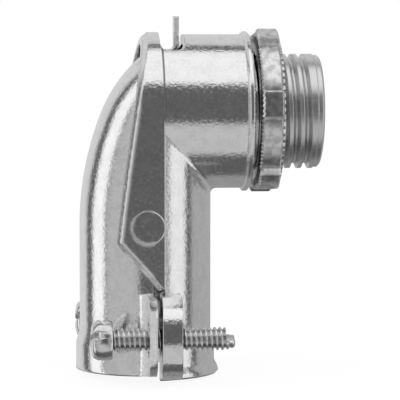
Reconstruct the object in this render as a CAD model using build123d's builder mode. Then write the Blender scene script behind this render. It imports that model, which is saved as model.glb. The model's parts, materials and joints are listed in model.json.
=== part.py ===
from build123d import *
import math
import os

# Elbow connector for half-inch flexible conduit. Millimetres, +Z up.
# The threaded nipple points along +X and the conduit mouth opens down along -Z.
# The origin lies on the nipple's axis, in the plane of the shoulder that seats on the box wall.

# Elbow layout: distance from the shoulder to the leg's axis, and from the nipple's axis to the mouth
leg_offset = 19.0
mouth_drop = 48.2
wall = 1.5

# Leg barrel, oval where the cover nests in it, then the round clamp zone and flared lip
leg_radius = 12.1
leg_oval = 1.9
leg_stop = 4.0
clamp_bore_radius = 11.3
clamp_length = 8.0
clamp_taper = 2.4
lip_flare = 0.75
lip_height = 2.2
lip_chamfer = 0.35
crotch_round = 1.0

# Hub drum behind the shoulder: wider than the leg that opens into it
hub_margin = 2.1
hub_wall = 1.8
hub_overrun = 16.0
collar_proud = 0.55
collar_length = 1.3
collar_chamfer = 0.35
shoulder_wall = 2.0

# Threaded nipple: helical groove between rounded crests, plain lands along the casting's
# parting line, and a smooth pilot at the end
nipple_length = 13.1
thread_radius = 10.6
thread_pitch = 2.08
thread_depth = 0.95
thread_crest = 0.9
thread_root = 0.4
thread_round = 0.3
thread_run_out = 0.9
land_radius = 10.45
land_width = 3.0
pilot_radius = 10.4
pilot_length = 1.2
pilot_chamfer = 0.35
throat_radius = 8.0

# Cheeks that flank the cover: their slanted back edge, and the foot above the lugs
arch_proud = 0.4
cheek_bevel = 0.9
cheek_top_x = -0.4
cheek_mid_x = -3.5
cheek_mid_z = -3.5
cheek_low_x = -6.1
cheek_low_z = -23.3
cheek_foot_z = -33.0
cheek_front_x = 2.6

# Plain round pad on the near cheek
pad_radius = 3.0
pad_height = 0.15
pad_x = -0.4
pad_z = -20.4

# Bridge over the cover's hook, and the window behind it
bridge_length = 2.7
window_length = 4.6
window_sill = 1.1
window_round = 1.2

# Parting of body and cover, measured from the leg's axis
parting_x = 1.35
parting_gap = 0.9
side_clearance = 0.2

# Cover trough: back radii of its bend, and its length below the nipple's axis
cover_end_gap = 0.8
cover_thickness = 1.4
cover_bend_z = -21.0
cover_lower_radius = 56.0
cover_lower_turn = 22.0
cover_upper_radius = 26.5
cover_upper_turn = 28.0

# Hook at the cover's top: tongue under the bridge and tab standing in the window
tongue_thickness = 0.9
tongue_clearance = 0.9
tongue_width = 7.0
tongue_ramp_x = 1.1
tongue_overlap = 2.0
tab_width = 2.8
tab_x = 5.3
tab_rise = 3.3
tab_bend = 0.8

# Clamping lugs, placed from the mouth
lug_margin = 4.0
lug_root = 9.5
lug_corner = 3.4
body_lug_rise = 8.2
body_lug_height = 15.0
body_lug_thickness = 3.6
cover_lug_rise = 8.4
cover_lug_height = 14.2
cover_lug_thickness = 1.4

# Clamping screws, placed from the mouth and from the clamp zone's side
screw_offset = 2.8
screw_rise = 7.9
screw_radius = 2.1
screw_length = 22.0
screw_head_radius = 3.6
screw_head_height = 3.8
screw_head_dome = 1.3
screw_slot_width = 1.1
screw_slot_depth = 1.5
screw_point_length = 2.2
screw_point_radius = 1.4
front_screw_stand_off = 6.5
rear_screw_stand_off = 8.0
front_slot_angle = -25.0
rear_slot_angle = -25.0
tap_clearance = 0.12
cover_hole_clearance = 0.4
cover_hole_slot = 1.6

# Locknut, run down to just short of the shoulder
nut_thickness = 4.4
nut_radius = 14.5
nut_lug_height = 1.3
nut_lug_count = 6
nut_lug_angle = 18.5
nut_phase = -6.0
nut_seat_gap = 1.05
nut_clearance = 0.15
nut_chamfer = 0.4

# Derived places
leg_x = -leg_offset
mouth_z = -mouth_drop
leg_bore_radius = leg_radius - wall
leg_half_width = leg_radius + leg_oval
clamp_radius = clamp_bore_radius + wall
lip_radius = clamp_radius + lip_flare
clamp_top_z = mouth_z + clamp_length
hub_radius = leg_radius + hub_margin
hub_bore_radius = hub_radius - hub_wall
collar_radius = hub_radius + collar_proud
arch_radius = hub_radius + arch_proud
cover_radius = leg_radius
cheek_inner = cover_radius + side_clearance
cheek_front = leg_x + cheek_front_x
body_edge_x = leg_x + parting_x + parting_gap / 2
cover_edge_x = leg_x + parting_x - parting_gap / 2
cover_drop = mouth_drop - cover_end_gap
foot_slope = (cheek_foot_z - cheek_low_z) / (cheek_front_x - cheek_low_x)
foot_edge_z = cheek_low_z + foot_slope * (body_edge_x - leg_x - cheek_low_x)
bridge_x = leg_x + cheek_top_x
window_x = bridge_x + bridge_length
window_sill_z = hub_bore_radius - window_sill
tongue_top_z = hub_bore_radius - tongue_clearance
tab_left = leg_x + tab_x
tab_right = tab_left + tongue_thickness
tab_top_z = hub_radius + tab_rise
screw_y = clamp_radius + screw_offset
screw_z = mouth_z + screw_rise
lug_reach = screw_y + lug_margin
far = 2 * mouth_drop
below = mouth_z - mouth_drop

os.makedirs("parts", exist_ok=True)

with BuildPart() as elbow_body:
    # Nipple first: its helical groove runs in from the free end that the drum closes later
    with BuildSketch(Plane.YZ):
        Circle(thread_radius)
    extrude(amount=nipple_length - pilot_length)
    with BuildLine() as groove_path:
        Helix(
            thread_pitch,
            nipple_length - pilot_length,
            thread_radius,
            center=(-thread_run_out, 0, 0),
            direction=(1, 0, 0),
        )
    groove_start = groove_path.line @ 0
    groove_plane = Plane(
        origin=groove_start,
        x_dir=Vector(0, groove_start.Y, groove_start.Z),
        z_dir=groove_path.line % 0,
    )
    half_mouth = (thread_pitch - thread_crest) / 2
    with BuildSketch(groove_plane):
        with BuildLine():
            Polyline(
                (-thread_depth, -thread_root / 2),
                (-thread_round, -half_mouth),
                (thread_round, -half_mouth - thread_round / 2),
                (thread_round, half_mouth + thread_round / 2),
                (-thread_round, half_mouth),
                (-thread_depth, thread_root / 2),
                close=True,
            )
        make_face()
    sweep(path=groove_path.line, is_frenet=True, mode=Mode.SUBTRACT)
    # Plain lands across the thread, above and below
    with BuildSketch(Plane.YZ):
        Circle(land_radius)
        Rectangle(land_width, far, mode=Mode.INTERSECT)
    extrude(amount=nipple_length - pilot_length)
    # Smooth pilot, a little under the thread's crests
    with BuildSketch(Plane.YZ.offset(nipple_length - pilot_length)):
        Circle(pilot_radius)
    extrude(amount=pilot_length)
    pilot_edge = elbow_body.edges().filter_by(GeomType.CIRCLE).sort_by(Axis.X)[-1]
    chamfer(pilot_edge, pilot_chamfer)
    # Hub drum along the nipple's axis, with the collar that seats behind the locknut
    with BuildSketch(Plane.YZ):
        Circle(hub_radius)
    extrude(amount=-(leg_offset + hub_overrun))
    with BuildSketch(Plane.YZ):
        Circle(collar_radius)
    extrude(amount=-collar_length)
    collar_edges = elbow_body.edges().filter_by(GeomType.CIRCLE).filter_by(
        lambda edge: abs(edge.radius - collar_radius) < 0.01
    )
    chamfer(collar_edges, collar_chamfer)
    # Oval leg barrel, down to the clamp zone
    with BuildSketch(Plane.XY):
        with Locations((leg_x, 0)):
            Ellipse(leg_radius, leg_half_width)
    extrude(amount=clamp_top_z - clamp_taper)
    # Inside corner between drum and barrel
    crotch_edges = (
        elbow_body.edges()
        .filter_by(GeomType.BSPLINE)
        .filter_by(lambda edge: edge.center().X < -shoulder_wall)
    )
    fillet(crotch_edges, crotch_round)
    # Arch band that the cover hooks under, a little proud of the drum
    with BuildSketch(Plane.YZ.offset(cheek_front)):
        Circle(arch_radius)
    extrude(amount=-(hub_overrun + cheek_front_x))
    # Wider clamp zone with the flared lip at the mouth
    with BuildSketch(Plane.XZ) as clamp_zone:
        with BuildLine():
            Polyline(
                (leg_x, mouth_z),
                (leg_x + lip_radius, mouth_z),
                (leg_x + lip_radius, mouth_z + lip_height / 3),
                (leg_x + clamp_radius, mouth_z + lip_height),
                (leg_x + clamp_radius, clamp_top_z - clamp_taper),
                (leg_x + leg_radius, clamp_top_z),
                (leg_x, clamp_top_z),
                close=True,
            )
        make_face()
        chamfer(clamp_zone.vertices().sort_by(Axis.X)[-2:], lip_chamfer)
    revolve(axis=Axis((leg_x, 0, 0), (0, 0, 1)))
    # Flat cheeks over the whole width, still solid between them
    with BuildSketch(Plane.XZ):
        with BuildLine():
            back = ThreePointArc(
                (bridge_x, arch_radius + cheek_bevel),
                (leg_x + cheek_mid_x, cheek_mid_z),
                (leg_x + cheek_low_x, cheek_low_z),
            )
            Polyline(
                back @ 1,
                (cheek_front, cheek_foot_z),
                (cheek_front, arch_radius + cheek_bevel),
                back @ 0,
            )
        make_face()
        with Locations((leg_x, far / 2)):
            Rectangle(far, far, mode=Mode.SUBTRACT)
    extrude(amount=arch_radius, both=True)
    # Lugs, each half buried in the barrel
    with BuildSketch(Plane.YZ.offset(body_edge_x)):
        with Locations((0, mouth_z + body_lug_rise)):
            RectangleRounded(2 * lug_reach, body_lug_height, lug_corner)
            Rectangle(2 * lug_root, body_lug_height, mode=Mode.SUBTRACT)
    extrude(amount=body_lug_thickness)
    # Open back: everything behind the cheeks' slanted edge and behind the parting plane
    with BuildSketch(Plane.XZ):
        with BuildLine():
            back = ThreePointArc(
                (bridge_x, arch_radius + cheek_bevel),
                (leg_x + cheek_mid_x, cheek_mid_z),
                (leg_x + cheek_low_x, cheek_low_z),
            )
            Polyline(
                back @ 1,
                (body_edge_x, foot_edge_z),
                (body_edge_x, below),
                (leg_x - far, below),
                (leg_x - far, far),
                (bridge_x, far),
                back @ 0,
            )
        make_face()
    extrude(amount=far, both=True, mode=Mode.SUBTRACT)
    # Bevel along the back edges of the cheeks and over the arch, then along their feet
    back_edges = (
        elbow_body.edges()
        .filter_by(lambda edge: edge.geom_type in (GeomType.CIRCLE, GeomType.BSPLINE))
        .filter_by(lambda edge: edge.center().X < cheek_front - arch_proud)
        .filter_by(lambda edge: edge.center().Z > cheek_low_z)
        .filter_by(lambda edge: abs(edge.center().Y) > cheek_inner or edge.center().Z > 0)
    )
    chamfer(back_edges, cheek_bevel)
    for side in (-arch_radius, arch_radius):
        with BuildLine():
            foot = Line(
                (leg_x + cheek_low_x, side, cheek_low_z), (cheek_front, side, cheek_foot_z)
            )
        with BuildSketch(Plane(origin=foot @ 0, x_dir=(0, 1, 0), z_dir=foot % 0)):
            Rectangle(math.sqrt(2) * cheek_bevel, math.sqrt(2) * cheek_bevel, rotation=45)
        extrude(amount=foot.length + cheek_bevel, mode=Mode.SUBTRACT)
    # Room for the cover between the cheeks
    with BuildSketch(Plane.XY):
        with Locations((body_edge_x - far / 2, 0)):
            Rectangle(far, 2 * cheek_inner)
    extrude(amount=-far, mode=Mode.SUBTRACT)
    # Hub bore, leg bore and the wider bore that takes the conduit up to its stop
    with BuildSketch(Plane.YZ.offset(-shoulder_wall)):
        Circle(hub_bore_radius)
    extrude(amount=-far, mode=Mode.SUBTRACT)
    with BuildSketch(Plane.XY):
        with Locations((leg_x, 0)):
            Circle(leg_bore_radius)
    extrude(amount=-far, mode=Mode.SUBTRACT)
    with BuildSketch(Plane.XY):
        with Locations((leg_x, 0)):
            Ellipse(leg_bore_radius, leg_half_width - wall)
    extrude(amount=clamp_top_z + leg_stop, mode=Mode.SUBTRACT)
    with BuildSketch(Plane.XY.offset(clamp_top_z)):
        with Locations((leg_x, 0)):
            Circle(clamp_bore_radius)
    extrude(amount=-far, mode=Mode.SUBTRACT)
    # Window behind the bridge, open to the sky
    with BuildSketch(Plane.XZ):
        with Locations((window_x + window_length / 2, window_sill_z + far / 2)):
            RectangleRounded(window_length, far, window_round)
    extrude(amount=far, both=True, mode=Mode.SUBTRACT)
    # Tapped holes
    with BuildSketch(Plane.YZ.offset(body_edge_x)):
        with Locations((screw_y, screw_z), (-screw_y, screw_z)):
            Circle(screw_radius + tap_clearance)
    extrude(amount=far, both=True, mode=Mode.SUBTRACT)
    # Throat through shoulder and nipple
    with BuildSketch(Plane.YZ.offset(nipple_length)):
        Circle(throat_radius)
    extrude(amount=-(nipple_length + 2 * shoulder_wall), mode=Mode.SUBTRACT)
    # Plain round pad on the near cheek
    with BuildSketch(Plane.XZ.offset(arch_radius)):
        with Locations((leg_x + pad_x, pad_z)):
            Circle(pad_radius)
    extrude(amount=pad_height)

elbow_body.part.label = "elbow_body"
export_step(elbow_body.part, "parts/elbow_body.step")

with BuildPart() as clamp_cover:
    # Trough: a tube swept up the leg and over the bend, cut back to its rear half
    with BuildLine(Plane.XZ) as cover_path:
        straight = Line((leg_x, -cover_drop), (leg_x, cover_bend_z))
        lower_bend = JernArc(
            straight @ 1, straight % 1, cover_lower_radius - cover_radius, -cover_lower_turn
        )
        upper_bend = JernArc(
            lower_bend @ 1, lower_bend % 1, cover_upper_radius - cover_radius, -cover_upper_turn
        )
    with BuildSketch(Plane.XY.offset(-cover_drop)):
        with Locations((leg_x, 0)):
            Circle(cover_radius)
            Circle(cover_radius - cover_thickness, mode=Mode.SUBTRACT)
    sweep(path=cover_path.line)
    # Wider clamp zone
    with BuildSketch(Plane.XZ):
        with BuildLine():
            Polyline(
                (leg_x + clamp_bore_radius, -cover_drop),
                (leg_x + clamp_radius, -cover_drop),
                (leg_x + clamp_radius, clamp_top_z - clamp_taper),
                (leg_x + cover_radius, clamp_top_z),
                (leg_x + clamp_bore_radius, clamp_top_z),
                close=True,
            )
        make_face()
    revolve(axis=Axis((leg_x, 0, 0), (0, 0, 1)))
    # Lugs, before the trough is cut back
    with BuildSketch(Plane.YZ.offset(cover_edge_x)):
        with Locations((0, mouth_z + cover_lug_rise)):
            RectangleRounded(2 * lug_reach, cover_lug_height, lug_corner)
            Rectangle(2 * lug_root, cover_lug_height, mode=Mode.SUBTRACT)
    extrude(amount=-cover_lug_thickness)
    # Clear bore, front half away
    with BuildSketch(Plane.XY.offset(clamp_top_z)):
        with Locations((leg_x, 0)):
            Circle(clamp_bore_radius)
    extrude(amount=-far, mode=Mode.SUBTRACT)
    with BuildSketch(Plane.XY.offset(cover_bend_z)):
        with Locations((leg_x, 0)):
            Circle(cover_radius - cover_thickness)
    extrude(amount=-far, mode=Mode.SUBTRACT)
    with BuildSketch(Plane.YZ.offset(cover_edge_x)):
        Rectangle(far, 2 * far)
    extrude(amount=far, mode=Mode.SUBTRACT)
    # Hook: ramp from the trough's end up to the tongue under the bridge
    bend_end = upper_bend @ 1
    bend_way = upper_bend % 1
    outward = Vector(-bend_way.Z, 0, bend_way.X)
    ramp_start = bend_end - bend_way * tongue_overlap
    ramp_outer = ramp_start + outward * (cover_radius - cover_thickness / 3)
    ramp_inner = ramp_start + outward * (cover_radius - cover_thickness)
    with BuildSketch(Plane.XZ):
        with BuildLine():
            Polyline(
                (ramp_outer.X, ramp_outer.Z),
                (leg_x + tongue_ramp_x, tongue_top_z),
                (tab_left - tab_bend, tongue_top_z),
                (tab_left - tab_bend, tongue_top_z - tongue_thickness),
                (leg_x + tongue_ramp_x + tongue_thickness / 2, tongue_top_z - tongue_thickness),
                (ramp_inner.X, ramp_inner.Z),
                close=True,
            )
        make_face()
    extrude(amount=tongue_width / 2, both=True)
    # Tab, bent up from the tongue
    with BuildSketch(Plane.XZ):
        with BuildLine():
            bend_centre = (tab_left - tab_bend, tongue_top_z + tab_bend)
            outer_bend = CenterArc(bend_centre, tab_bend + tongue_thickness, 270, 90)
            inner_bend = CenterArc(bend_centre, tab_bend, 270, 90)
            Polyline(
                outer_bend @ 1, (tab_right, tab_top_z), (tab_left, tab_top_z), inner_bend @ 1
            )
            Polyline(
                inner_bend @ 0,
                (window_x, tongue_top_z),
                (window_x, tongue_top_z - tongue_thickness),
                outer_bend @ 0,
            )
        make_face()
    extrude(amount=tab_width / 2, both=True)
    # Oval clearance holes, so that the lug can swing on the screw
    with BuildSketch(Plane.YZ.offset(cover_edge_x)):
        with Locations((screw_y, screw_z), (-screw_y, screw_z)):
            SlotOverall(
                2 * (screw_radius + cover_hole_clearance) + cover_hole_slot,
                2 * (screw_radius + cover_hole_clearance),
                rotation=90,
            )
    extrude(amount=cover_lug_thickness, both=True, mode=Mode.SUBTRACT)

clamp_cover.part.label = "clamp_cover"
export_step(clamp_cover.part, "parts/clamp_cover.step")

# Clamping screws: the front one is driven in further than the rear one
for name, screw_plane, stand_off, slot_angle in (
    ("clamp_screw_front", Plane.XZ.offset(screw_y), front_screw_stand_off, front_slot_angle),
    ("clamp_screw_rear", Plane.XZ.offset(-screw_y), rear_screw_stand_off, rear_slot_angle),
):
    seat_x = cover_edge_x - cover_lug_thickness - stand_off
    head_end_x = seat_x - screw_head_height
    tip_x = seat_x + screw_length
    with BuildPart() as clamp_screw:
        with BuildSketch(screw_plane):
            with BuildLine():
                dome = ThreePointArc(
                    (head_end_x, screw_z),
                    (head_end_x + 0.25 * screw_head_dome, screw_z + 0.6 * screw_head_radius),
                    (head_end_x + screw_head_dome, screw_z + screw_head_radius),
                )
                Polyline(
                    dome @ 1,
                    (seat_x, screw_z + screw_head_radius),
                    (seat_x, screw_z + screw_radius),
                    (tip_x - screw_point_length, screw_z + screw_radius),
                    (tip_x - screw_point_length / 2, screw_z + screw_point_radius),
                    (tip_x, screw_z + screw_point_radius),
                    (tip_x, screw_z),
                    dome @ 0,
                )
            make_face()
        revolve(axis=Axis((0, screw_plane.origin.Y, screw_z), (1, 0, 0)))
        # Driver slot
        with BuildSketch(Plane.YZ.offset(head_end_x)):
            with Locations((screw_plane.origin.Y, screw_z)):
                Rectangle(3 * screw_head_radius, screw_slot_width, rotation=slot_angle)
        extrude(amount=screw_slot_depth, mode=Mode.SUBTRACT)
    clamp_screw.part.label = name
    export_step(clamp_screw.part, "parts/" + name + ".step")

with BuildPart() as locknut:
    # Lugged outline: wedges between the lugs are cut back to the nut's own radius
    lug_pitch = 360 / nut_lug_count
    gap_reach = 2 * nut_radius
    gap_half = gap_reach * math.tan(math.radians((lug_pitch - nut_lug_angle) / 2))
    with BuildSketch(Plane.YZ.offset(nut_seat_gap)):
        Circle(nut_radius + nut_lug_height)
        with PolarLocations(0, nut_lug_count, start_angle=nut_phase + lug_pitch / 2):
            Polygon(
                (0, 0),
                (gap_reach, -gap_half),
                (gap_reach, gap_half),
                align=None,
                mode=Mode.SUBTRACT,
            )
        Circle(nut_radius)
    extrude(amount=nut_thickness)
    chamfer(locknut.faces().sort_by(Axis.X)[-1].edges(), nut_chamfer)
    # Threaded bore with a lead-in at each face
    with BuildSketch(Plane.YZ):
        Circle(thread_radius + nut_clearance)
    extrude(amount=far, mode=Mode.SUBTRACT)
    bore_edges = locknut.edges().filter_by(GeomType.CIRCLE).filter_by(
        lambda edge: abs(edge.radius - thread_radius - nut_clearance) < 0.01
    )
    chamfer(bore_edges, nut_chamfer)

locknut.part.label = "locknut"
export_step(locknut.part, "parts/locknut.step")
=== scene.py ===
"""A right-angle conduit connector in bright tumbled zinc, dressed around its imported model.

The nipple points along +X, the conduit mouth opens down and all lengths are in metres.
"""

import json
import logging
import math
from dataclasses import dataclass
from enum import Enum
from typing import Any, Dict, List, Sequence, Tuple, Union

import bmesh
import bpy
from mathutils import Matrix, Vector

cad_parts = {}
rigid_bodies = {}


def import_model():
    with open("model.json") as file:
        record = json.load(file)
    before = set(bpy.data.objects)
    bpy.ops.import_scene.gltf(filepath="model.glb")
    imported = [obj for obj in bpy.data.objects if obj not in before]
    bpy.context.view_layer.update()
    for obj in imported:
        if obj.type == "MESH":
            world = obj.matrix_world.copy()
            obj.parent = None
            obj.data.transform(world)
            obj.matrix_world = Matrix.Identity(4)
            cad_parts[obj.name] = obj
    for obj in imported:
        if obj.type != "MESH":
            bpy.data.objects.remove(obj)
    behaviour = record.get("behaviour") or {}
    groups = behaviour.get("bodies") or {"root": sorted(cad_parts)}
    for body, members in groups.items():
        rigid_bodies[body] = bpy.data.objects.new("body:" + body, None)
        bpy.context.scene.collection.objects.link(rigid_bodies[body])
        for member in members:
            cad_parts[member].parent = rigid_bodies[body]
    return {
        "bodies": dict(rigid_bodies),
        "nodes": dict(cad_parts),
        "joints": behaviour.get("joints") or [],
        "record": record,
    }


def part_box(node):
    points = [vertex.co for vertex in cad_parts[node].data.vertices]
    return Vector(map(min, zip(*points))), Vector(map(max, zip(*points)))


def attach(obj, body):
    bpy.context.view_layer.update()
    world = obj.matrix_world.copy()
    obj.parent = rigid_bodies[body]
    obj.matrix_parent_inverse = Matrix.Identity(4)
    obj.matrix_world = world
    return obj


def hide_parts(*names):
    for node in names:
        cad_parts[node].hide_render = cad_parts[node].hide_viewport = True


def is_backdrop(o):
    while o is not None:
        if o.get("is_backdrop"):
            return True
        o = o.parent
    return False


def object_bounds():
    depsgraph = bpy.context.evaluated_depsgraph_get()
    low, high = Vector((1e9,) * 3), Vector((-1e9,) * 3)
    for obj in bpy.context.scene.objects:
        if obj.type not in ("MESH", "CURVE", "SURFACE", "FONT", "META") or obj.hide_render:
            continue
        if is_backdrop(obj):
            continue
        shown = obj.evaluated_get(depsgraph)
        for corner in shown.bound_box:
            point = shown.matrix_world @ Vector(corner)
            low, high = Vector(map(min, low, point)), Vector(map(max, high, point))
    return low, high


LOG = logging.getLogger("connector")
MM = 0.001

# The Mix node's own numbers for its factor, its two colours and its mixed colour
MIX_FACTOR, MIX_FIRST, MIX_SECOND, MIX_RESULT = 0, 6, 7, 2

Point = Tuple[float, float, float]
Colour = Tuple[float, float, float]
Span = Tuple[float, float]


class Ray(Enum):
    """The kinds of ray that the stage tells apart."""

    CAMERA = "Is Camera Ray"
    GLOSSY = "Is Glossy Ray"
    TRANSMISSION = "Is Transmission Ray"


def grey(level: float) -> Colour:
    """Gives a neutral colour."""
    return (level, level, level)


def ramp(value: float, low: float, high: float) -> float:
    """Goes in a straight line from 0 at low to 1 at high, and stays level past them."""
    return min(1.0, max(0.0, (value - low) / (high - low)))


def zigzag(turns: float) -> float:
    """Goes in straight lines from 1 at a whole turn to 0 halfway to the next."""
    return abs(turns % 1.0 - 0.5) * 2


class Signal:
    """A shader socket that takes part in Python expressions."""

    def __init__(self, graph: "Graph", socket: bpy.types.NodeSocket) -> None:
        """Wraps one output socket of a graph."""
        self.graph = graph
        self.socket = socket

    def math(self, operation: str, *values: Any) -> "Signal":
        """Adds one Math node on this signal and the values that follow it."""
        sockets = dict(enumerate((self, *values)))
        return self.graph.node("ShaderNodeMath", {"operation": operation}, sockets)

    def __add__(self, other: Any) -> "Signal":
        """Adds a value."""
        return self.math("ADD", other)

    __radd__ = __add__

    def __mul__(self, other: Any) -> "Signal":
        """Multiplies by a value."""
        return self.math("MULTIPLY", other)

    __rmul__ = __mul__

    def __sub__(self, other: Any) -> "Signal":
        """Takes a value away."""
        return self.math("SUBTRACT", other)

    def __rsub__(self, other: Any) -> "Signal":
        """Takes this signal away from a value."""
        return self.math("MULTIPLY", -1.0) + other

    def __truediv__(self, other: Any) -> "Signal":
        """Divides by a value."""
        return self.math("DIVIDE", other)

    def smallest(self, other: Any) -> "Signal":
        """Gives the smaller of this signal and a value."""
        return self.math("MINIMUM", other)

    def size(self) -> "Signal":
        """Gives the value without its sign."""
        return self.math("ABSOLUTE")

    def step(self, low: float, high: float) -> "Signal":
        """Rises smoothly from 0 at low to 1 at high.

        Args:
            low: Where the rise starts.
            high: Where the rise ends.

        Returns:
            The smoothed step.
        """
        settings = {"interpolation_type": "SMOOTHSTEP"}
        sockets = {"Value": self, "From Min": low, "From Max": high}
        return self.graph.node("ShaderNodeMapRange", settings, sockets)

    def band(self, low: float, high: float, edge: float) -> "Signal":
        """Is 1 between low and high and falls off smoothly over the edge on either side."""
        return self.step(low - edge, low + edge) * (1 - self.step(high - edge, high + edge))


@dataclass(frozen=True)
class GapShade:
    """Painted shade: how a metal darkens in its hollows and between parts.

    A neighbouring surface counts within the reach. The colour is full below the lower end
    of the span of openness, and gone above its upper end.
    """

    reach: float
    openness: Span
    colour: Colour


class Graph:
    """A node tree of a material or of the world, emptied and filled anew."""

    def __init__(self, tree: bpy.types.NodeTree) -> None:
        """Empties the tree that is to be filled."""
        self.tree = tree
        tree.nodes.clear()

    def node(
        self,
        kind: str,
        settings: Dict[str, Any],
        sockets: Dict[Union[str, int], Any],
        output: Union[str, int] = 0,
    ) -> Signal:
        """Adds one node.

        Args:
            kind: The node's type.
            settings: The node's own properties, set first.
            sockets: Values or signals for its inputs, by name or number.
            output: The output wanted.

        Returns:
            The wanted output as a signal.
        """
        made = self.tree.nodes.new(kind)
        for name, value in settings.items():
            setattr(made, name, value)
        for name, value in sockets.items():
            if isinstance(value, Signal):
                self.tree.links.new(value.socket, made.inputs[name])
            else:
                made.inputs[name].default_value = value
        return Signal(self, made.outputs[output] if made.outputs else None)

    def place(self) -> Signal:
        """Gives the point on the surface in the piece's own frame."""
        return self.node("ShaderNodeTexCoord", {}, {}, "Object")

    def ray(self, kind: Ray) -> Signal:
        """Is 1 for one kind of ray and 0 for every other."""
        return self.node("ShaderNodeLightPath", {}, {}, kind.value)

    def noise(self, pitch: float, detail: float = 2.0, rough: float = 0.5) -> Signal:
        """Gives a noise.

        Args:
            pitch: The width of its features.
            detail: How many finer octaves it has.
            rough: How strong the finer octaves are.

        Returns:
            The noise, from 0 to 1.
        """
        sockets = {
            "Vector": self.place(),
            "Scale": 1 / pitch,
            "Detail": detail,
            "Roughness": rough,
        }
        return self.node("ShaderNodeTexNoise", {}, sockets, "Fac")

    def parts(self, vector: Signal) -> Tuple[Signal, ...]:
        """Splits a vector into its x, y and z."""
        return tuple(self.node("ShaderNodeSeparateXYZ", {}, {0: vector}, i) for i in range(3))

    def vector(self, operation: str, *values: Any) -> Signal:
        """Adds one Vector Math node on the given values."""
        sockets = dict(enumerate(values))
        return self.node("ShaderNodeVectorMath", {"operation": operation}, sockets, "Vector")

    def mix(self, factor: Any, low: Any, high: Any) -> Signal:
        """Mixes two colours.

        Args:
            factor: How much of the second colour.
            low: The first colour.
            high: The second colour.

        Returns:
            The mixed colour.
        """
        low, high = ((*c, 1.0) if isinstance(c, tuple) else c for c in (low, high))
        sockets = {MIX_FACTOR: factor, MIX_FIRST: low, MIX_SECOND: high}
        return self.node("ShaderNodeMix", {"data_type": "RGBA"}, sockets, MIX_RESULT)

    def paint_gap_shade(self, colour: Signal, gap: GapShade) -> Signal:
        """Paints shade on a metal in its hollows and gaps.

        Args:
            colour: The metal's colour on its open faces.
            gap: How the painted shade darkens it.

        Returns:
            The colour everywhere.
        """
        sockets = {"Distance": gap.reach}
        # Painted shade: ambient occlusion mixes the shade colour into hollows and gaps.
        air = self.node("ShaderNodeAmbientOcclusion", {"samples": 8}, sockets, "AO")
        return self.mix(air.step(*gap.openness), gap.colour, colour)

    def soft_edges(self, radius: Any) -> Signal:
        """Gives the surface's direction, with its edges rounded to a radius."""
        return self.node("ShaderNodeBevel", {"samples": 8}, {"Radius": radius})

    def metal(self, colour: Signal, rough: Any, height: Signal, normal: Signal) -> None:
        """Ends a metal's graph in its shader.

        Args:
            colour: The metal's colour.
            rough: Its roughness.
            height: Its relief in metres.
            normal: The direction that the relief stands on.
        """
        sockets = {"Strength": 1.0, "Distance": 1.0, "Height": height, "Normal": normal}
        bump = self.node("ShaderNodeBump", {}, sockets)
        sockets = {"Base Color": colour, "Metallic": 1.0, "Roughness": rough, "Normal": bump}
        self.close(self.node("ShaderNodeBsdfPrincipled", {}, sockets))

    def close(self, shader: Signal, kind: str = "ShaderNodeOutputMaterial") -> None:
        """Ends the graph in its output node."""
        self.node(kind, {}, {"Surface": shader})


def new_material(name: str) -> Tuple[bpy.types.Material, Graph]:
    """Makes an empty material.

    Args:
        name: Its name.

    Returns:
        The material and its graph.
    """
    made = bpy.data.materials.new(name)
    made.use_nodes = True
    return made, Graph(made.node_tree)


@dataclass(frozen=True)
class Rims:
    """The rims that face -X, which the finish rounds further than other edges."""

    radius: float = 0.90 * MM
    lean: float = 0.0
    x: float = -18.0 * MM
    fade: float = 0.5 * MM
    facing: Span = (0.15, 0.60)


@dataclass(frozen=True)
class LugShape:
    """The lugs' fuller form, which the finish gives them: crowned ends and filleted roots."""

    root_lean: float = 0.0
    root_x: float = -19.95 * MM
    root_reach: float = 2.0 * MM
    root_top: float = -32.5 * MM
    root_fade: float = 0.3 * MM
    end_y: float = 16.5 * MM
    end_fade: float = 0.5 * MM
    end_facing: Span = (0.3, 0.9)
    crown_middle: float = -40.3 * MM
    crown_radius: float = 8.4 * MM


@dataclass(frozen=True)
class SeamShade:
    """Painted shade: a dark line where the arch meets the hub, at the hub's end face in shade.
    """

    dark: float = 0.0
    x: float = -16.4 * MM
    width: float = 0.4 * MM
    edge: float = 0.1 * MM
    low: float = -2.0 * MM
    fade: float = 1.0 * MM


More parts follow.
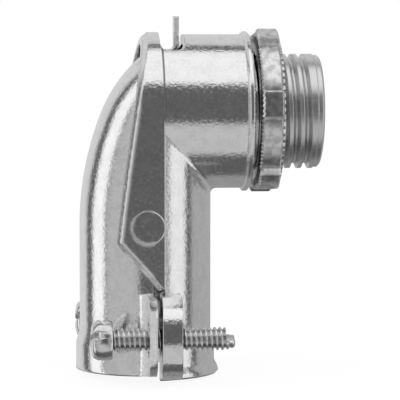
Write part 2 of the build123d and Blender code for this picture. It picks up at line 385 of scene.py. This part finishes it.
@dataclass(frozen=True)
class CastFinish:
    """Tumbled zinc casting: bright, with a fine orange-peel grain and a duller thread."""

    name: str
    light: Colour = grey(0.90)
    dark: Colour = grey(0.82)
    shades: Span = (0.36, 0.60)
    roughness: float = 0.13
    roughness_spread: float = 0.10
    rough_grain: Span = (0.40, 0.75)
    grain_pitch: float = 0.50 * MM
    grain_height: float = 0.028 * MM
    peel_pitch: float = 2.2 * MM
    peel_height: float = 0.010 * MM
    thread_start: float = 1.0 * MM
    thread_fade: float = 0.2 * MM
    thread_colour: Colour = grey(0.72)
    thread_share: float = 0.8
    thread_roughness: float = 0.16
    thread_smoothing: float = 0.7
    edge_radius: float = 0.30 * MM
    gap: GapShade = GapShade(1.6 * MM, (0.15, 0.55), grey(0.16))
    rims: Rims = Rims()
    lugs: LugShape = LugShape()
    seam_shade: SeamShade = SeamShade()

    def material(self) -> bpy.types.Material:
        """Builds the material.

        Returns:
            The finished material.
        """
        made, graph = new_material(self.name)
        x, _, height = graph.parts(graph.place())
        grain = graph.noise(self.grain_pitch, detail=1.0)
        peel = graph.noise(self.peel_pitch, rough=0.45)
        thread = x.step(self.thread_start, self.thread_start + self.thread_fade)
        shade = (peel * 0.5 + grain * 0.5).step(*self.shades)
        colour = graph.mix(shade, self.dark, self.light)
        colour = graph.mix(thread * self.thread_share, colour, self.thread_colour)
        # Painted shade: the seam between arch and hub takes the hollows' shade colour, above a
        # given height.
        colour = graph.mix(self.seam_shade_mask(x, height), colour, self.gap.colour)
        # Painted shade: hollows and gaps darkened toward the shade colour.
        colour = graph.paint_gap_shade(colour, self.gap)
        rough = self.roughness + self.roughness_spread * grain.step(*self.rough_grain)
        rough = rough + thread * self.thread_roughness
        relief = grain * self.grain_height * (1 - self.thread_smoothing * thread)
        relief = relief + peel * self.peel_height
        graph.metal(colour, rough, relief, self.direction(graph))
        return made

    def seam_shade_mask(self, x: Signal, height: Signal) -> Signal:
        """Marks the painted shade along the seam between arch and hub.

        Args:
            x: The place along the nipple.
            height: The height.

        Returns:
            How dark the painted shade of the seam is at a point.
        """
        half = self.seam_shade.width / 2
        line = x.band(self.seam_shade.x - half, self.seam_shade.x + half, self.seam_shade.edge)
        return line * height.step(self.seam_shade.low, self.seam_shade.low + self.seam_shade.fade) * self.seam_shade.dark

    def direction(self, graph: Graph) -> Signal:
        """Gives the surface's direction with soft edges, fuller rims and fuller lugs.

        Args:
            graph: The material's graph.

        Returns:
            The direction.
        """
        rims, lugs = self.rims, self.lugs
        x, side, height = graph.parts(graph.place())
        on_rim = (rims.x - x).step(0.0, rims.fade)
        normal = graph.soft_edges(self.edge_radius + on_rim * (rims.radius - self.edge_radius))
        away, outward, upward = graph.parts(normal)
        lean = (away * -1.0).step(*rims.facing) * rims.lean
        on_end = side.size().step(lugs.end_y, lugs.end_y + lugs.end_fade)
        on_end = on_end * outward.size().step(*lugs.end_facing)
        crown = on_end * (height - lugs.crown_middle) / lugs.crown_radius
        root = (x - lugs.root_x + lugs.root_reach).step(0.0, lugs.root_reach)
        root = root * (lugs.root_top - height).step(0.0, lugs.root_fade) * lugs.root_lean
        sockets = {"X": away * lean - root, "Z": upward * lean + crown}
        push = graph.node("ShaderNodeCombineXYZ", {}, sockets)
        return graph.vector("NORMALIZE", graph.vector("ADD", normal, push))


@dataclass(frozen=True)
class PlatedFinish:
    """Zinc-plated steel: smooth and bright, with faint clouds."""

    name: str = "plated_steel_finish"
    light: Colour = grey(0.86)
    dark: Colour = grey(0.66)
    shades: Span = (0.35, 0.65)
    roughness: float = 0.14
    roughness_spread: float = 0.10
    cloud_pitch: float = 1.2 * MM
    grain_pitch: float = 0.25 * MM
    grain_height: float = 0.004 * MM
    edge_radius: float = 0.12 * MM
    gap: GapShade = GapShade(1.2 * MM, (0.2, 0.7), grey(0.14))

    def material(self) -> bpy.types.Material:
        """Builds the material.

        Returns:
            The finished material.
        """
        made, graph = new_material(self.name)
        cloud = graph.noise(self.cloud_pitch, detail=3.0)
        grain = graph.noise(self.grain_pitch)
        colour = graph.mix(cloud.step(*self.shades), self.dark, self.light)
        # Painted shade: hollows and gaps darkened toward the shade colour.
        colour = graph.paint_gap_shade(colour, self.gap)
        rough = self.roughness + self.roughness_spread * cloud
        relief = grain * self.grain_height
        graph.metal(colour, rough, relief, graph.soft_edges(self.edge_radius))
        return made


def mesh_piece(name: str, bm: bmesh.types.BMesh, smooth_deg: float = 35.0) -> bpy.types.Object:
    """Turns a mesh under construction into an object of the scene.

    Args:
        name: The piece's name.
        bm: The finished mesh, which is freed.
        smooth_deg: Edges flatter than this are shaded smooth.

    Returns:
        The new object.
    """
    bmesh.ops.recalc_face_normals(bm, faces=bm.faces)
    data = bpy.data.meshes.new(name)
    for face in bm.faces:
        face.smooth = True
    for edge in bm.edges:
        if len(edge.link_faces) == 2:
            edge.smooth = edge.calc_face_angle(0.0) < math.radians(smooth_deg)
    bm.to_mesh(data)
    bm.free()
    piece = bpy.data.objects.new(name, data)
    bpy.context.scene.collection.objects.link(piece)
    return piece


def lathe(bm: bmesh.types.BMesh, rings: Sequence[Sequence[Point]], closed: bool) -> None:
    """Joins rings of points into a skin.

    Args:
        bm: The mesh to add to.
        rings: Rings with the same number of points each.
        closed: Whether the last ring joins the first. Otherwise both ends are capped.
    """
    loops = [[bm.verts.new(point) for point in ring] for ring in rings]
    count = len(loops[0])
    pairs = list(zip(loops, loops[1:]))
    if closed:
        pairs.append((loops[-1], loops[0]))
    for low, high in pairs:
        for i in range(count):
            j = (i + 1) % count
            bm.faces.new((low[i], low[j], high[j], high[i]))
    if not closed:
        bm.faces.new(loops[0])
        bm.faces.new(loops[-1])


@dataclass
class Castings:
    """The elbow body and its cover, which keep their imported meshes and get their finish."""

    body: CastFinish = CastFinish("cast_body_finish", rims=Rims(lean=0.65), seam_shade=SeamShade(dark=0.8))
    cover: CastFinish = CastFinish(
        "cast_cover_finish",
        edge_radius=1.0 * MM,
        rims=Rims(radius=1.0 * MM),
        lugs=LugShape(root_lean=1.2),
    )

    def dress(self, frame: Dict[str, Any]) -> List[bpy.types.Object]:
        """Gives both castings their finish.

        Args:
            frame: The loaded frame.

        Returns:
            The two castings.
        """
        pieces = []
        for name, finish in (("elbow_body", self.body), ("clamp_cover", self.cover)):
            piece = frame["nodes"][name]
            piece.data.materials.clear()
            piece.data.materials.append(finish.material())
            pieces.append(piece)
        return pieces


@dataclass
class SlottedScrew:
    """A slotted thread-cutting screw along X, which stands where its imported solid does."""

    node: str
    body: str
    head_length: float = 3.8 * MM
    head_radius: float = 3.6 * MM
    dome: float = 1.3 * MM
    dome_power: int = 4
    dome_steps: int = 8
    chamfer_length: float = 0.25 * MM
    chamfer_depth: float = 0.2 * MM
    neck_radius: float = 1.7 * MM
    root_radius: float = 1.6 * MM
    thread_radius: float = 2.1 * MM
    least_relief: float = 0.1 * MM
    pitch: float = 0.92 * MM
    flank: Span = (0.92, 0.20)
    lead_turns: float = 0.6
    point_length: float = 2.2 * MM
    point_radius: float = 1.4 * MM
    slot_width: float = 1.3 * MM
    slot_depth: float = 1.4 * MM
    slot_deg: float = -20.0
    notch_length: float = 1.7 * MM
    notch_past_axis: float = 0.1 * MM
    notch_deg: float = 20.0
    sides: int = 48
    steps_per_turn: int = 12
    smooth_deg: float = 50.0

    def thread_at(self, along: float, turn: float, start: float, end: float) -> float:
        """Gives the shank's radius at one point of the thread.

        Args:
            along: The place along the axis.
            turn: The angle round the axis, in turns.
            start: Where the thread starts.
            end: Where the thread ends.

        Returns:
            The radius.
        """
        crest = ramp(zigzag(along / self.pitch - turn), *self.flank)
        lead = ramp(along, start, start + self.lead_turns * self.pitch)
        run_out = math.sqrt(ramp(along, end, end - self.point_length))
        top = self.point_radius + (self.thread_radius - self.point_radius) * run_out
        root = min(self.root_radius, top - self.least_relief)
        return root + (top - root) * crest * lead

    def ring(self, x: float, axis: Span, radii: Sequence[float]) -> List[Point]:
        """Gives one ring of the screw's skin.

        Args:
            x: Its place along the axis.
            axis: The y and z of the axis.
            radii: The radius at each of its points.

        Returns:
            The points.
        """
        points = []
        for i, radius in enumerate(radii):
            angle = 2 * math.pi * i / self.sides
            y, z = axis[0] + radius * math.cos(angle), axis[1] + radius * math.sin(angle)
            points.append((x, y, z))
        return points

    def rings(self, start: float, tip: float, axis: Span) -> List[List[Point]]:
        """Gives all rings from the middle of the head's dome to the tip.

        Args:
            start: The head's end along X.
            tip: The shank's end along X.
            axis: The y and z of the axis.

        Returns:
            The rings in order.
        """
        seat = start + self.head_length
        head = []
        for k in range(self.dome_steps + 1):
            share = (2 * k + 1) / (2 * self.dome_steps + 1)
            sag = self.dome * (1 - math.sqrt(1 - share ** self.dome_power))
            head.append((start + sag, self.head_radius * share))
        head.append((seat - self.chamfer_length, self.head_radius))
        head.append((seat, self.head_radius - self.chamfer_depth))
        head.append((seat, self.neck_radius))
        rings = [self.ring(x, axis, [radius] * self.sides) for x, radius in head]
        count = int((tip - seat) / self.pitch * self.steps_per_turn)
        for k in range(1, count + 1):
            x = seat + (tip - seat) * k / count
            radii = [self.thread_at(x, i / self.sides, seat, tip) for i in range(self.sides)]
            rings.append(self.ring(x, axis, radii))
        return rings

    def build(self, metal: bpy.types.Material) -> bpy.types.Object:
        """Builds the screw.

        Args:
            metal: Its material.

        Returns:
            The screw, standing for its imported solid.
        """
        low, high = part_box(self.node)
        y, z = (low.y + high.y) / 2, (low.z + high.z) / 2
        bm = bmesh.new()
        lathe(bm, self.rings(low.x, high.x, (y, z)), closed=False)
        piece = mesh_piece(self.node + "_threaded", bm, self.smooth_deg)
        slot = (2 * self.slot_depth, 3 * self.head_radius, self.slot_width)
        self.cut(piece, slot, (low.x, y, z), self.slot_deg)
        notch = (2 * self.notch_length, 2 * self.thread_radius, 2 * self.thread_radius)
        above = self.thread_radius - self.notch_past_axis
        turn = math.radians(self.notch_deg)
        place = (high.x, y - above * math.sin(turn), z + above * math.cos(turn))
        self.cut(piece, notch, place, self.notch_deg)
        piece.data.materials.append(metal)
        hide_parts(self.node)
        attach(piece, self.body)
        return piece

    def cut(self, piece: bpy.types.Object, size: Point, place: Point, degrees: float) -> None:
        """Cuts a box out of the screw.

        Args:
            piece: The screw.
            size: The box's size.
            place: Its middle.
            degrees: How far it is turned about the screw's axis.
        """
        bm = bmesh.new()
        bmesh.ops.create_cube(bm, size=1.0)
        bmesh.ops.scale(bm, verts=bm.verts, vec=size)
        cutter = mesh_piece(piece.name + "_cutter", bm)
        cutter.rotation_euler = (math.radians(degrees), 0, 0)
        cutter.location = place
        bpy.context.view_layer.update()
        modifier = piece.modifiers.new("cut", "BOOLEAN")
        modifier.operation = "DIFFERENCE"
        modifier.object = cutter
        modifier.solver = "EXACT"
        depsgraph = bpy.context.evaluated_depsgraph_get()
        data = bpy.data.meshes.new_from_object(piece.evaluated_get(depsgraph))
        piece.modifiers.clear()
        piece.data = data
        bpy.data.objects.remove(cutter)


@dataclass
class LuggedNut:
    """The locknut: six lugs, a serrated gripping face and a toothed outer face.

    Every depth under the rim is measured inwards from the radius between the lugs.
    """

    node: str = "locknut"
    body: str = "nut"
    lug_count: int = 6
    lug_deg: float = 18.5
    flank_deg: float = 2.0
    phase_deg: float = -6.0
    radius: float = 14.5 * MM
    lug_height: float = 1.3 * MM
    bore: float = 10.75 * MM
    edge: float = 0.35 * MM
    flat_depth: float = 2.6 * MM
    serrations: int = 104
    serration_depth: float = 0.14 * MM
    serration_flank: Span = (0.3, 0.7)
    serration_start: float = 1.9 * MM
    serration_full: float = 1.2 * MM
    teeth: int = 66
    tooth_depth: float = 0.45 * MM
    tooth_flank: Span = (0.5, 0.7)
    tooth_feet: Span = (0.55 * MM, 1.9 * MM)
    tooth_tops: Span = (0.7 * MM, 1.5 * MM)
    around: int = 1440
    smooth_deg: float = 28.0

    def reach(self, degrees: float) -> float:
        """Gives the outline's radius at one angle.

        Args:
            degrees: The angle round the axis.

        Returns:
            The radius.
        """
        pitch = 360 / self.lug_count
        away = abs((degrees - self.phase_deg - pitch / 2) % pitch - pitch / 2)
        foot, top = (self.lug_deg + self.flank_deg) / 2, (self.lug_deg - self.flank_deg) / 2
        return self.radius + self.lug_height * ramp(away, foot, top)

    def profile(self, degrees: float, low: float, high: float) -> List[Span]:
        """Gives the nut's section at one angle.

        Args:
            degrees: The angle round the axis.
            low: Where the serrated face lies along X.
            high: Where the tips of the teeth lie along X.

        Returns:
            The section's points, each an x and a radius.
        """
        outer = self.reach(degrees)
        turns = degrees / 360
        bite = ramp(zigzag(turns * self.serrations), *self.serration_flank)
        nick = ramp(zigzag(turns * self.teeth), *self.tooth_flank)
        dip = low + self.serration_depth * bite
        tip = high - self.tooth_depth * nick
        shelf = high - self.tooth_depth
        return [
            (low + self.edge, self.bore),
            (low, self.bore + self.edge),
            (low, self.radius - self.flat_depth),
            (low, self.radius - self.serration_start),
            (dip, self.radius - self.serration_full),
            (dip, outer - self.edge),
            (dip + self.edge, outer),
            (low + self.serration_depth + 2 * self.edge, outer),
            (shelf - 2 * self.edge, outer),
            (shelf - self.edge, outer),
            (shelf, outer - self.edge),
            (shelf, self.radius - self.tooth_feet[0]),
            (tip, self.radius - self.tooth_tops[0]),
            (tip, self.radius - self.tooth_tops[1]),
            (shelf, self.radius - self.tooth_feet[1]),
            (shelf, self.bore + self.edge),
            (shelf - self.edge, self.bore),
        ]

    def build(self, metal: bpy.types.Material) -> bpy.types.Object:
        """Builds the locknut.

        Args:
            metal: Its material.

        Returns:
            The nut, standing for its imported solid.
        """
        low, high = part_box(self.node)
        rings: List[List[Point]] = []
        for i in range(self.around):
            degrees = 360 * i / self.around
            across, up = math.cos(math.radians(degrees)), math.sin(math.radians(degrees))
            section = self.profile(degrees, low.x, high.x)
            rings.append([(x, radius * across, radius * up) for x, radius in section])
        bm = bmesh.new()
        lathe(bm, rings, closed=True)
        piece = mesh_piece(self.node + "_serrated", bm, self.smooth_deg)
        piece.data.materials.append(metal)
        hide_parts(self.node)
        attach(piece, self.body)
        return piece


@dataclass(frozen=True)
class Panel:
    """A soft white panel of the light tent, in degrees round the object."""

    low: float
    high: float
    level: float
    soft: float = 5.0


@dataclass
class Studio:
    """A pale floor under a soft light tent, and the camera of the photograph's view."""

    floor_size: float = 6.0
    floor_gap: float = 0.4 * MM
    floor_colour: Colour = grey(0.9)
    floor_glow: float = 1.08
    glow_share: float = 0.85
    tent_radius: float = 2.4
    tent_facets: Tuple[int, int] = (64, 32)
    tent_change: Span = (0.3, 0.7)
    dark: float = 0.12
    overhead: Tuple[Panel, ...] = (
        Panel(-200, -110, 0.32),
        Panel(-66, -16, 0.56),
        Panel(42, 103, 0.98, 4.0),
        Panel(117, 200, 0.66, 3.0),
    )
    around: Tuple[Panel, ...] = (
        Panel(-200, -122, 0.70, 6.0),
        Panel(-103, -74, 1.05, 4.0),
        Panel(-70, -7, 0.50),
        Panel(28, 44, 0.40, 4.0),
        Panel(47, 83, 0.90),
        Panel(96, 200, 0.42, 6.0),
    )
    world_level: float = 0.7
    lens: float = 198.0
    sensor: float = 36.0
    clip_start: float = 0.01
    azimuth_deg: float = -5.5
    pitch_deg: float = 4.0
    distance: float = 0.407
    camera_height: float = 12.0 * MM
    leg_x: float = -19.0 * MM
    aim_x: float = 10.2 * MM

    def floor(self, lowest: float) -> None:
        """Lays the floor just under the object.

        Args:
            lowest: The object's lowest height.
        """
        bm = bmesh.new()
        bmesh.ops.create_grid(bm, x_segments=4, y_segments=4, size=self.floor_size / 2)
        piece = mesh_piece("floor", bm)
        piece.location = (0, 0, lowest - self.floor_gap)
        material, graph = new_material("floor_white")
        diffuse = graph.node("ShaderNodeBsdfDiffuse", {}, {"Color": (*self.floor_colour, 1.0)})
        glow = graph.node("ShaderNodeEmission", {}, {"Strength": self.floor_glow})
        seen = graph.ray(Ray.CAMERA) * self.glow_share
        graph.close(graph.node("ShaderNodeMixShader", {}, {0: seen, 1: diffuse, 2: glow}))
        piece.data.materials.append(material)
        piece.visible_glossy = False
        piece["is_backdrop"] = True

    def tent(self) -> None:
        """Hangs the light tent: white panels with darker gaps, seen only in the metal."""
        columns, rows = self.tent_facets
        bm = bmesh.new()
        bmesh.ops.create_uvsphere(
            bm, u_segments=columns, v_segments=rows, radius=self.tent_radius
        )
        piece = mesh_piece("light_tent", bm)
        piece.rotation_euler = (0, 0, math.radians(self.azimuth_deg))
        piece.visible_camera = False
        piece.visible_shadow = False
        material, graph = new_material("tent_panels")
        x, y, z = graph.parts(graph.place())
        front = y * -1.0
        over = self.lit(z.math("ARCTAN2", front), self.overhead)
        around = self.lit(x.math("ARCTAN2", front), self.around)
        share = ((x * x) / (x * x + z * z)).step(*self.tent_change)
        level = over * (1 - share) + around * share
        graph.close(graph.node("ShaderNodeEmission", {}, {"Color": level}))
        piece.data.materials.append(material)
        piece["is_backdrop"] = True

    def lit(self, angle: Signal, panels: Sequence[Panel]) -> Signal:
        """Lights one ring of the tent.

        Args:
            angle: The angle round the ring in radians, 0 towards the viewer.
            panels: Its panels.

        Returns:
            The brightness.
        """
        degrees = angle * (180 / math.pi)
        level: Any = self.dark
        for panel in panels:
            band = degrees.band(panel.low, panel.high, panel.soft)
            level = level + band * (panel.level - self.dark)
        return level

    def world(self) -> None:
        """Makes the background white to the camera, in gloss and through glass, else grey."""
        world = bpy.data.worlds.new("studio")
        bpy.context.scene.world = world
        world.use_nodes = True
        graph = Graph(world.node_tree)
        seen, glossy, through = (graph.ray(kind) for kind in Ray)
        white = (seen + glossy + through).smallest(1.0)
        strength = self.world_level + (1 - self.world_level) * white
        sockets = {"Color": (1, 1, 1, 1), "Strength": strength}
        graph.close(graph.node("ShaderNodeBackground", {}, sockets), "ShaderNodeOutputWorld")

    def camera(self) -> None:
        """Sets the camera where the photograph was taken from."""
        data = bpy.data.cameras.new("camera")
        data.lens = self.lens
        data.sensor_width = self.sensor
        data.clip_start = self.clip_start
        camera = bpy.data.objects.new("camera", data)
        bpy.context.scene.collection.objects.link(camera)
        turn = math.radians(-self.azimuth_deg)
        toward = Vector((math.sin(turn), math.cos(turn), 0))
        target = Vector((self.leg_x + self.aim_x / math.cos(turn), 0, 0))
        place = target - toward * self.distance
        camera.location = (place.x, place.y, self.camera_height)
        camera.rotation_euler = (math.radians(90 - self.pitch_deg), 0, -turn)
        bpy.context.scene.camera = camera

    def build(self, lowest: float) -> None:
        """Builds the whole stage.

        Args:
            lowest: The object's lowest height.
        """
        self.floor(lowest)
        self.tent()
        self.world()
        self.camera()
        bpy.context.scene.view_settings.view_transform = "Standard"


def main() -> None:
    """Builds the dressed connector and its stage."""
    logging.basicConfig(level=logging.INFO, format="%(name)s: %(message)s")
    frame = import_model()
    cad_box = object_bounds()
    pieces = Castings().dress(frame)
    screw_metal = PlatedFinish().material()
    nut_finish = PlatedFinish(
        name="plated_nut_finish", light=grey(0.84), dark=grey(0.55), roughness=0.20
    )
    for side in ("front", "rear"):
        screw = SlottedScrew(f"clamp_screw_{side}", f"{side}_screw")
        pieces.append(screw.build(screw_metal))
    pieces.append(LuggedNut().build(nut_finish.material()))
    for piece in pieces:
        LOG.info("finished %s", piece.name)
    Studio().build(cad_box[0].z)
    LOG.info("built the studio")


if __name__ == "__main__":
    main()
